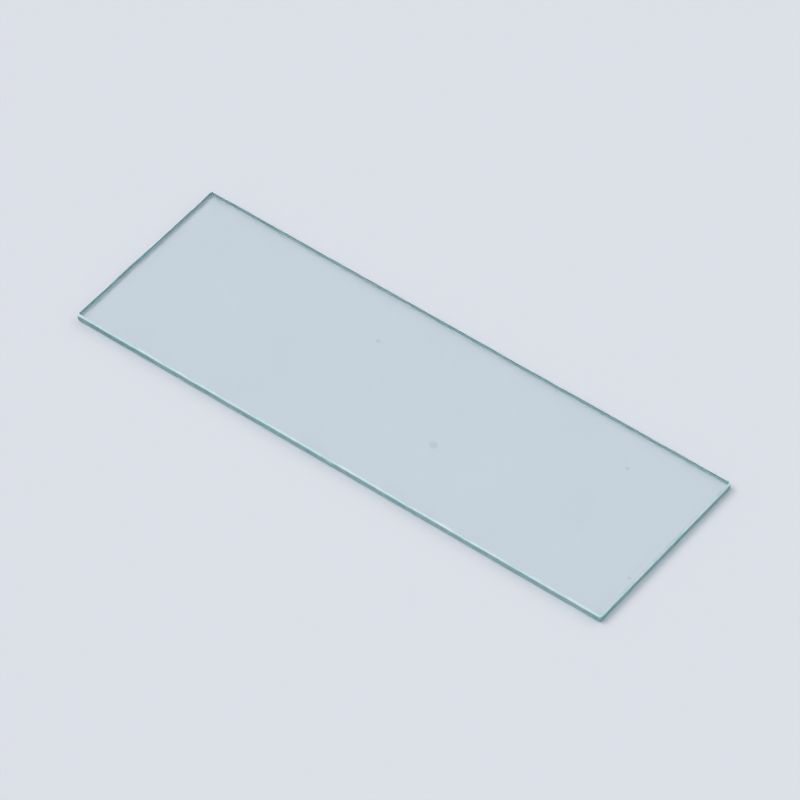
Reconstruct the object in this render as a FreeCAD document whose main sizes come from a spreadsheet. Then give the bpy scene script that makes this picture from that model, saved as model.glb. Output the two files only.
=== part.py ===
# A plain glass microscope slide with ground edges.
#
# The slide is one rectangular plate of clear soda-lime glass. Its two faces are
# polished. Its four edges are ground flat, and the wheel also takes off the sharp
# corners: a narrow 45 degree arris runs unbroken round the rim of each face, and
# the four upright corners are eased to a small radius.
#
# The slide lies on one face. X runs along its length, Y across its width and Z up
# through the glass. The origin is the centre of the face that it lies on.
# All sizes are in millimetres.

import FreeCAD, Part
import os
import Sketcher

DRIVING_SIZES = (
    # alias, value, what it is
    ("slide_length", 76.2, "long side of the plate, three inches"),
    ("slide_width", 25.4, "short side of the plate, one inch"),
    ("glass_thickness", 1.1, "between the two polished faces"),
    ("arris_width", 0.2, "each leg of the 45 degree ground arris"),
    ("face_corner_radius", 0.2, "corner of the polished face, inside the arris"),
)
FLAT = 1e-6  # an edge that rises less than this lies level
START, END = 1, 2  # how a sketch numbers the two ends of a line
SKETCH_ORIGIN = (-1, 1)  # how a sketch names its own origin point


def add_sizes(doc):
    """The sheet that holds the driving dimensions, one aliased cell for each."""
    sheet = doc.addObject("Spreadsheet::Sheet", "Sizes")
    for row, (alias, value, meaning) in enumerate(DRIVING_SIZES, start=1):
        sheet.set(f"A{row}", alias)
        sheet.set(f"B{row}", str(value))
        sheet.set(f"C{row}", meaning)
        sheet.setAlias(f"B{row}", alias)
    doc.recompute()


def origin_plane(body, role):
    """One of the body's own origin planes, such as XY_Plane."""
    return next(plane for plane in body.Origin.OriginFeatures if plane.Role == role)


def draw_outline(body):
    """The outline of the plate as it is cut from the sheet, centred on the origin."""
    sketch = body.newObject("Sketcher::SketchObject", "PlateOutline")
    sketch.AttachmentSupport = (origin_plane(body, "XY_Plane"), [""])
    sketch.MapMode = "FlatFace"

    # A rough rectangle, drawn anticlockwise from its lower left corner. The
    # constraints square it, centre it and bind it to the sheet.
    ends = [FreeCAD.Vector(x, y, 0) for x, y in ((-2, -1), (2, -1), (2, 1), (-2, 1))]
    near, right, far, left = [
        sketch.addGeometry(Part.LineSegment(start, end), False)
        for start, end in zip(ends, ends[1:] + ends[:1])
    ]
    for line, following in ((near, right), (right, far), (far, left), (left, near)):
        sketch.addConstraint(Sketcher.Constraint("Coincident", line, END, following, START))
    for line in (near, far):
        sketch.addConstraint(Sketcher.Constraint("Horizontal", line))
    for line in (right, left):
        sketch.addConstraint(Sketcher.Constraint("Vertical", line))
    centred = Sketcher.Constraint("Symmetric", near, START, far, START, *SKETCH_ORIGIN)
    sketch.addConstraint(centred)

    along = sketch.addConstraint(Sketcher.Constraint("DistanceX", near, START, near, END, 4.0))
    across = sketch.addConstraint(Sketcher.Constraint("DistanceY", right, START, right, END, 2.0))
    sketch.setExpression(f"Constraints[{along}]", "Sizes.slide_length")
    sketch.setExpression(f"Constraints[{across}]", "Sizes.slide_width")
    return sketch


def edge_names(shape, upright):
    """The edges that stand across the thickness, or those that lie round the faces."""
    return [
        f"Edge{number}"
        for number, edge in enumerate(shape.Edges, start=1)
        if (edge.BoundBox.ZLength > FLAT) == upright
    ]


def build_slide(doc):
    """The plate as cut, then its eased upright corners, then the arris on both rims."""
    body = doc.addObject("PartDesign::Body", "SlideGlass")
    body.Label = "slide_glass"

    plate = body.newObject("PartDesign::Pad", "Plate")
    plate.Profile = draw_outline(body)
    plate.setExpression("Length", "Sizes.glass_thickness")
    doc.recompute()

    # The edge goes round each corner one arris further out than the polished face.
    corners = body.newObject("PartDesign::Fillet", "EasedCorners")
    corners.Base = (plate, edge_names(plate.Shape, upright=True))
    corners.setExpression("Radius", "Sizes.face_corner_radius + Sizes.arris_width")
    doc.recompute()

    arrises = body.newObject("PartDesign::Chamfer", "GroundArrises")
    arrises.Base = (corners, edge_names(corners.Shape, upright=False))
    arrises.ChamferType = "Equal distance"
    arrises.setExpression("Size", "Sizes.arris_width")
    doc.recompute()

    body.Placement = FreeCAD.Placement()
    return body


def check(doc, pieces):
    """Stops the build if a feature failed or a piece isn't one sound solid."""
    for item in doc.Objects:
        if {"Invalid", "Error"} & set(item.State):
            raise RuntimeError(f"{item.Name} failed: {item.State}")
    for piece in pieces:
        shape = piece.Shape
        if shape.isNull() or not shape.isValid() or len(shape.Solids) != 1:
            raise RuntimeError(f"{piece.Label} isn't one sound solid")


def main():
    doc = FreeCAD.newDocument("MicroscopeSlide")
    add_sizes(doc)
    pieces = [build_slide(doc)]
    doc.recompute()
    check(doc, pieces)

    os.makedirs("parts", exist_ok=True)
    for piece in pieces:
        piece.Shape.exportStep(f"parts/{piece.Label}.step")
        box = piece.Shape.BoundBox
        sizes = f"{box.XLength:.2f} x {box.YLength:.2f} x {box.ZLength:.2f} mm"
        print(f"{piece.Label}: {sizes}, {piece.Shape.Volume:.1f} mm3, {len(piece.Shape.Faces)} faces")


main()
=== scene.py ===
import math

import bmesh
import bpy
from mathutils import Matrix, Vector


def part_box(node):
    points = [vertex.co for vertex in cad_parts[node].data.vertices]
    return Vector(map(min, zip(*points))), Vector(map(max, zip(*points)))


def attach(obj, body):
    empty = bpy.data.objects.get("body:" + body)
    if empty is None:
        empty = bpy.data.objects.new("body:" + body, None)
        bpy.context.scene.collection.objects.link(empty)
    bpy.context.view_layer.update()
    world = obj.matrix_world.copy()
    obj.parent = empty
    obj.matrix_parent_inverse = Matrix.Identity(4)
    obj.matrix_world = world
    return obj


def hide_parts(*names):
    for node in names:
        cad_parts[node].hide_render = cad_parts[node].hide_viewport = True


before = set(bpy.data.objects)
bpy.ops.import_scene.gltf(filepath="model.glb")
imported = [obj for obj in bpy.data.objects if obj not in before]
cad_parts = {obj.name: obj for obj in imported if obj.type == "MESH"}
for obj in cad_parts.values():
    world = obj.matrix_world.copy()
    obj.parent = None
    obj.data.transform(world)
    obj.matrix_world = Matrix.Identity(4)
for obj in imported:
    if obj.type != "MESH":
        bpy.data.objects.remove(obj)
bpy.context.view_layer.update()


# ---- The glass plate -------------------------------------------------------------------
# One piece of clear drawn soda-lime glass, cut to a rectangle from a larger sheet. Its two
# faces keep their fire-polished surface. A fine wheel grinds the four edges flat, eases the
# four upright corners, and takes a 45 degree arris off the rim of each face.
MM = 0.001
plate_low, plate_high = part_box("slide_glass")
PLATE_SIZE = plate_high - plate_low
PLATE_MIDDLE = (plate_high + plate_low) / 2
CORNER_RADIUS = 0.4 * MM
CORNER_STEPS = 6
ARRIS_WIDTH = 0.2 * MM
LONG_RIM_CUTS = 99  # points along a rim, where the line of its arris may stray
END_RIM_CUTS = 49
TOUCHING = 0.001 * MM  # two heights or faces closer than this are the same one
LEVEL = 0.99  # how far a level face's normal rises, at least
UPRIGHT = 0.1  # and an upright one's, at most
SMOOTH_UNDER = math.radians(30)  # the steps of a corner are rounded over, and an arris stays sharp

bpy.ops.object.select_all(action="DESELECT")
bpy.ops.mesh.primitive_cube_add(size=1, location=PLATE_MIDDLE, scale=PLATE_SIZE)
plate = bpy.context.object
plate.name = plate.data.name = "ground_edge_slide"
bpy.ops.object.transform_apply(location=True, rotation=False, scale=True)


def pick_edges(mesh_object, wanted):
    """Leaves only the wanted edges selected, in edit mode."""
    bpy.ops.mesh.select_mode(type="EDGE")
    bpy.ops.mesh.select_all(action="DESELECT")
    cut = bmesh.from_edit_mesh(mesh_object.data)
    for edge in cut.edges:
        edge.select_set(wanted(*(vert.co for vert in edge.verts)))
    bmesh.update_edit_mesh(mesh_object.data)


def pick_level_faces(mesh_object):
    """Leaves only the two polished faces selected, in edit mode."""
    bpy.ops.mesh.select_mode(type="FACE")
    bpy.ops.mesh.select_all(action="DESELECT")
    cut = bmesh.from_edit_mesh(mesh_object.data)
    for face in cut.faces:
        face.select_set(abs(face.normal.z) > LEVEL)
    bmesh.update_edit_mesh(mesh_object.data)


def on_a_face(point):
    """True at the height of either polished face."""
    return min(abs(point.z - plate_low.z), abs(point.z - plate_high.z)) < TOUCHING


def on_a_long_edge(point):
    """True on the upright planes of the two long edges."""
    return abs(abs(point.y) - plate_high.y) < TOUCHING


def on_an_end(point):
    """True on the upright planes of the two ends."""
    return abs(abs(point.x) - plate_high.x) < TOUCHING


def is_rim(a, b):
    """True for the edges that go round either face."""
    return on_a_face(a) and on_a_face(b) and abs(a.z - b.z) < TOUCHING


bpy.ops.object.mode_set(mode="EDIT")
pick_edges(plate, lambda a, b: abs(a.z - b.z) > TOUCHING)
bpy.ops.mesh.bevel(offset=CORNER_RADIUS, segments=CORNER_STEPS, profile=0.5)
pick_edges(plate, lambda a, b: is_rim(a, b) and on_a_long_edge(a) and on_a_long_edge(b))
bpy.ops.mesh.subdivide(number_cuts=LONG_RIM_CUTS)
pick_edges(plate, lambda a, b: is_rim(a, b) and on_an_end(a) and on_an_end(b))
bpy.ops.mesh.subdivide(number_cuts=END_RIM_CUTS)
pick_level_faces(plate)
bpy.ops.mesh.dissolve_faces()
pick_edges(plate, is_rim)
bpy.ops.mesh.bevel(offset=ARRIS_WIDTH, segments=1)
bpy.ops.object.mode_set(mode="OBJECT")

# The wheel's hold on the glass varies, so the lines of the arris stray a little.
WAVER = 0.14 * MM  # from side to side
WAVER_LENGTH = 3.0 * MM
waver = bpy.data.textures.new("arris_waver", type="CLOUDS")
waver.noise_scale = WAVER_LENGTH
waver.noise_depth = 2


def stray(name, direction, wanted):
    """Moves the wanted points a little, back and forth along one axis."""
    group = plate.vertex_groups.new(name=name)
    group.add([vert.index for vert in plate.data.vertices if wanted(vert.co)], 1.0, "REPLACE")
    bpy.ops.object.modifier_add(type="DISPLACE")
    shift = plate.modifiers[-1]
    shift.texture = waver
    shift.texture_coords = "LOCAL"
    shift.direction = direction
    shift.strength = WAVER
    shift.mid_level = 0.5
    shift.vertex_group = name
    bpy.ops.object.modifier_apply(modifier=shift.name)
    plate.vertex_groups.clear()


def clear_of_corners(point):
    """True on the straight runs of the rim, past the eased corners."""
    along_x = abs(point.x) < plate_high.x - CORNER_RADIUS - TOUCHING
    along_y = abs(point.y) < plate_high.y - CORNER_RADIUS - TOUCHING
    return along_x or along_y


def on_inner_line(point):
    """True where an arris meets its polished face."""
    return on_a_face(point) and clear_of_corners(point)


long_inner_line = plate_high.y - 2 * ARRIS_WIDTH
end_inner_line = plate_high.x - 2 * ARRIS_WIDTH
stray("long_inner", "Y", lambda point: on_inner_line(point) and abs(point.y) > long_inner_line)
stray("end_inner", "X", lambda point: on_inner_line(point) and abs(point.x) > end_inner_line)
stray("outer", "Z", lambda point: not on_a_face(point) and clear_of_corners(point))


class Wire:
    """A socket of a material. Sums written on wires add their Math nodes."""

    def __init__(self, tree, socket):
        self.tree, self.socket = tree, socket

    def node(self, kind, settings=None, inputs=None, output=0):
        """Adds any other node: its settings first, then its inputs' values or wires."""
        made = self.tree.nodes.new(kind)
        for name, value in (settings or {}).items():
            setattr(made, name, value)
        for name, value in (inputs or {}).items():
            if isinstance(value, Wire):
                self.tree.links.new(value.socket, made.inputs[name])
            else:
                made.inputs[name].default_value = value
        return Wire(self.tree, made.outputs[output])

    def maths(self, operation, *values):
        return self.node("ShaderNodeMath", {"operation": operation}, dict(enumerate(values)))

    def __add__(self, other):
        return self.maths("ADD", self, other)

    def __mul__(self, other):
        return self.maths("MULTIPLY", self, other)

    __radd__, __rmul__ = __add__, __mul__


def patches(place, size, detail):
    """Cloudy patches of about one size, from 0 to 1."""
    return place.node("ShaderNodeTexNoise", inputs={"Vector": place, "Scale": 1 / size, "Detail": detail})


def between(share, first, second):
    """A colour from the first, where the share is 0, to the second, where it is 1."""
    # Of a Mix node's sockets, inputs 6 and 7 and output 2 are the ones for colours.
    return share.node("ShaderNodeMix", {"data_type": "RGBA"}, {0: share, 6: first, 7: second}, output=2)


# Iron in the sand tints the whole sheet, which shows where light has come far through it.
GLASS_TINT = (0.58, 0.87, 0.87, 1)
GLASS_DENSITY = 22.0  # per metre
GLASS_IOR = 1.52


def new_glass(name):
    """A material that is empty yet, and the place of each point on the plate."""
    material = bpy.data.materials.new(name)
    material.use_nodes = True
    tree = material.node_tree
    tree.nodes.clear()
    tree.nodes.new("ShaderNodeOutputMaterial")
    place = tree.nodes.new("ShaderNodeTexCoord")
    return material, Wire(tree, place.outputs["Object"])


def finish_glass(place, finish):
    """Gives the glass the finish of its surface, and the tint of the whole sheet inside."""
    surface = place.node("ShaderNodeBsdfPrincipled", inputs={"IOR": GLASS_IOR, **finish})
    tint = place.node(
        "ShaderNodeVolumeAbsorption", inputs={"Color": GLASS_TINT, "Density": GLASS_DENSITY}
    )
    output = place.tree.nodes["Material Output"]
    place.tree.links.new(surface.socket, output.inputs["Surface"])
    place.tree.links.new(tint.socket, output.inputs["Volume"])


# The polished faces are clear, with the faintest cloudiness from handling, and a few faint
# specks of dust on the upper one.
CLEAR_CLOUDED = (0.875, 0.918, 0.928, 1)
CLEAR_CLEAN = (0.905, 0.944, 0.952, 1)
CLOUD_SIZE = 11.0 * MM
POLISH = 0.004
CLOUDED_POLISH = 0.02
DUST_COLOUR = (0.35, 0.37, 0.38, 1)
DUST_SPECKS = (
    # right of the middle, back from it, how far it reaches at most, how much it covers
    (-7.3 * MM, 5.4 * MM, 0.60 * MM, 0.26),
    (7.6 * MM, -3.6 * MM, 1.10 * MM, 0.24),
    (27.4 * MM, 7.0 * MM, 0.50 * MM, 0.26),
    (37.2 * MM, -6.1 * MM, 0.50 * MM, 0.34),
)
RAGGEDNESS = 0.25 * MM  # the size of the breaks in a speck's outline

polished_glass, place = new_glass("polished_glass")
cloud = patches(place, CLOUD_SIZE, detail=4.0)
ragged = patches(place, RAGGEDNESS, detail=2.0)


def speck(right, back, reach, cover):
    """One speck of dust on the upper face: its cover inside a ragged outline, and 0 outside."""
    ends = {0: place, 1: (right, back, plate_high.z)}
    apart = place.node("ShaderNodeVectorMath", {"operation": "DISTANCE"}, ends, output=1)
    return cover * apart.maths("LESS_THAN", apart, reach * ragged)


dust = sum(speck(*values) for values in DUST_SPECKS)
finish_glass(
    place,
    {
        "Base Color": between(dust, between(cloud, CLEAR_CLOUDED, CLEAR_CLEAN), DUST_COLOUR),
        "Roughness": POLISH + CLOUDED_POLISH * cloud,
        "Transmission Weight": 1.0,
    },
)

# The wheel leaves the edges and the arris frosted. Its marks run along the edge.
MARK_SIZE = 0.2 * MM
MARK_RUN = 16.0  # how many times as long as it is wide a mark is
MOTTLE_SIZE = 0.9 * MM
PATCH_SIZE = 6.0 * MM
GRIT_SIZE = 0.07 * MM
SCORE_DEPTH = 0.01 * MM
MARK_SHARE, MOTTLE_SHARE, PATCH_SHARE = 0.30, 0.35, 0.35
LEAST_FROST, MOST_FROST = 0.38, 0.62  # the range that their sum mostly keeps to
FROST_ROUGHNESS = 0.15


def ground_glass(name, clean, frosted, roughness, clear):
    """Glass cut by a fine wheel, more frosted in some places than in others."""
    material, place = new_glass(name)
    along_edge = place.node(
        "ShaderNodeVectorMath",
        {"operation": "MULTIPLY"},
        {0: place, 1: (1 / MARK_RUN, 1 / MARK_RUN, 1.0)},
    )
    marks = patches(along_edge, MARK_SIZE, detail=4.0)
    mottle = patches(place, MOTTLE_SIZE, detail=4.0)
    broad = patches(place, PATCH_SIZE, detail=2.0)
    grit = patches(place, GRIT_SIZE, detail=3.0)
    frost = place.node(
        "ShaderNodeMapRange",
        inputs={
            "Value": MARK_SHARE * marks + MOTTLE_SHARE * mottle + PATCH_SHARE * broad,
            "From Min": LEAST_FROST,
            "From Max": MOST_FROST,
        },
    )
    scored = place.node(
        "ShaderNodeBump",
        inputs={"Strength": 1.0, "Distance": SCORE_DEPTH, "Height": grit + marks},
    )
    finish_glass(
        place,
        {
            "Base Color": between(frost, clean, frosted),
            "Roughness": roughness + FROST_ROUGHNESS * frost,
            "Transmission Weight": clear,
            "Normal": scored,
        },
    )
    return material


edge_glass = ground_glass(
    "ground_edge_glass",
    clean=(0.29, 0.42, 0.43, 1),
    frosted=(0.58, 0.70, 0.70, 1),
    roughness=0.42,
    clear=0.88,
)
arris_glass = ground_glass(
    "arris_glass",
    clean=(0.58, 0.83, 0.86, 1),
    frosted=(0.87, 0.98, 0.99, 1),
    roughness=0.30,
    clear=0.08,
)

FACE, EDGE, ARRIS = range(3)
for material in (polished_glass, edge_glass, arris_glass):
    plate.data.materials.append(material)
for polygon in plate.data.polygons:
    rise = abs(polygon.normal.z)
    polygon.material_index = FACE if rise > LEVEL else EDGE if rise < UPRIGHT else ARRIS
bpy.ops.object.shade_smooth_by_angle(angle=SMOOTH_UNDER)

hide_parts("slide_glass")
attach(plate, "root")


# ---- The floor ---------------------------------------------------------------------------
# A plain pale sheet of studio paper, a little cool in colour. The glass lies on it, with
# only a film of air between them.
FLOOR_SIZE = 12.0
AIR_FILM = 0.03 * MM
FLOOR_COLOUR = (0.755, 0.773, 0.824, 1)
FLOOR_ROUGHNESS = 0.9
FLOOR_SHINE = 0.2

bpy.ops.object.select_all(action="DESELECT")
bpy.ops.mesh.primitive_plane_add(size=FLOOR_SIZE, location=(0, 0, -AIR_FILM))
floor = bpy.context.object
floor.name = floor.data.name = "pale_floor"
paper = bpy.data.materials.new("pale_paper")
paper.use_nodes = True
paper_finish = paper.node_tree.nodes["Principled BSDF"].inputs
paper_finish["Base Color"].default_value = FLOOR_COLOUR
paper_finish["Roughness"].default_value = FLOOR_ROUGHNESS
paper_finish["Specular IOR Level"].default_value = FLOOR_SHINE
floor.data.materials.append(paper)


# ---- The light ---------------------------------------------------------------------------
# Two broad soft lights, so far off that the floor is lit evenly, and an even sky. Where the
# eye meets the sky, straight on or in the glass, it is as pale as the floor.
def soft_light(name, side, spread, strength):
    """A round light far off on one side, as wide as its spread, in degrees."""
    bpy.ops.object.light_add(type="SUN", location=side)
    lamp = bpy.context.object
    lamp.name = lamp.data.name = name
    lamp.rotation_euler = (-Vector(side)).to_track_quat("-Z", "Y").to_euler()
    lamp.data.angle = math.radians(spread)
    lamp.data.energy = strength
    lamp.visible_glossy = False  # the polished faces mirror the sky alone, with no glare


soft_light("key_light", side=(-1.05, -0.45, 1.95), spread=50.0, strength=1.5)
soft_light("back_light", side=(0.75, 2.25, 2.40), spread=60.0, strength=0.5)

SKY_LIGHT = (0.4275, 0.4365, 0.45, 1)
SKY_SEEN = (0.720, 0.746, 0.806, 1)
world = bpy.data.worlds.new("even_sky")
scene = bpy.context.scene
scene.world = world
world.use_nodes = True
path = world.node_tree.nodes.new("ShaderNodeLightPath")
straight, mirrored, through, scattered = (
    Wire(world.node_tree, path.outputs[name])
    for name in ("Is Camera Ray", "Is Glossy Ray", "Is Transmission Ray", "Diffuse Depth")
)
never_scattered = scattered.maths("LESS_THAN", scattered, 0.5)
sky = between((straight + mirrored + through) * never_scattered, SKY_LIGHT, SKY_SEEN)
world.node_tree.links.new(sky.socket, world.node_tree.nodes["Background"].inputs["Color"])

# Light trapped between the two faces is followed until a ground edge lets it out. Filter
# Glossy is off, so that what has crossed clear glass stays as bright as it was.
LIGHT_STEPS = 96
FLOOR_LIGHT_STEPS = 8
scene.cycles.max_bounces = LIGHT_STEPS
scene.cycles.glossy_bounces = LIGHT_STEPS
scene.cycles.transmission_bounces = LIGHT_STEPS
scene.cycles.diffuse_bounces = FLOOR_LIGHT_STEPS
scene.cycles.blur_glossy = 0.0


# ---- The camera --------------------------------------------------------------------------
# A long lens, well back. It looks down on the slide from in front and from its right, so the
# upper face, the near long edge and the right end all show.
LENS = 272.0
DISTANCE = 0.70
CAMERA_RIGHT = math.radians(37.5)
CAMERA_UP = math.radians(48.0)
NEAREST_SEEN = 10 * MM
towards_camera = Vector(
    (
        math.sin(CAMERA_RIGHT) * math.cos(CAMERA_UP),
        -math.cos(CAMERA_RIGHT) * math.cos(CAMERA_UP),
        math.sin(CAMERA_UP),
    )
)
bpy.ops.object.camera_add(
    location=PLATE_MIDDLE + DISTANCE * towards_camera,
    rotation=towards_camera.to_track_quat("Z", "Y").to_euler(),
)
camera = bpy.context.object
camera.name = camera.data.name = "camera"
camera.data.lens = LENS
camera.data.clip_start = NEAREST_SEEN
scene.camera = camera
scene.view_settings.view_transform = "Standard"
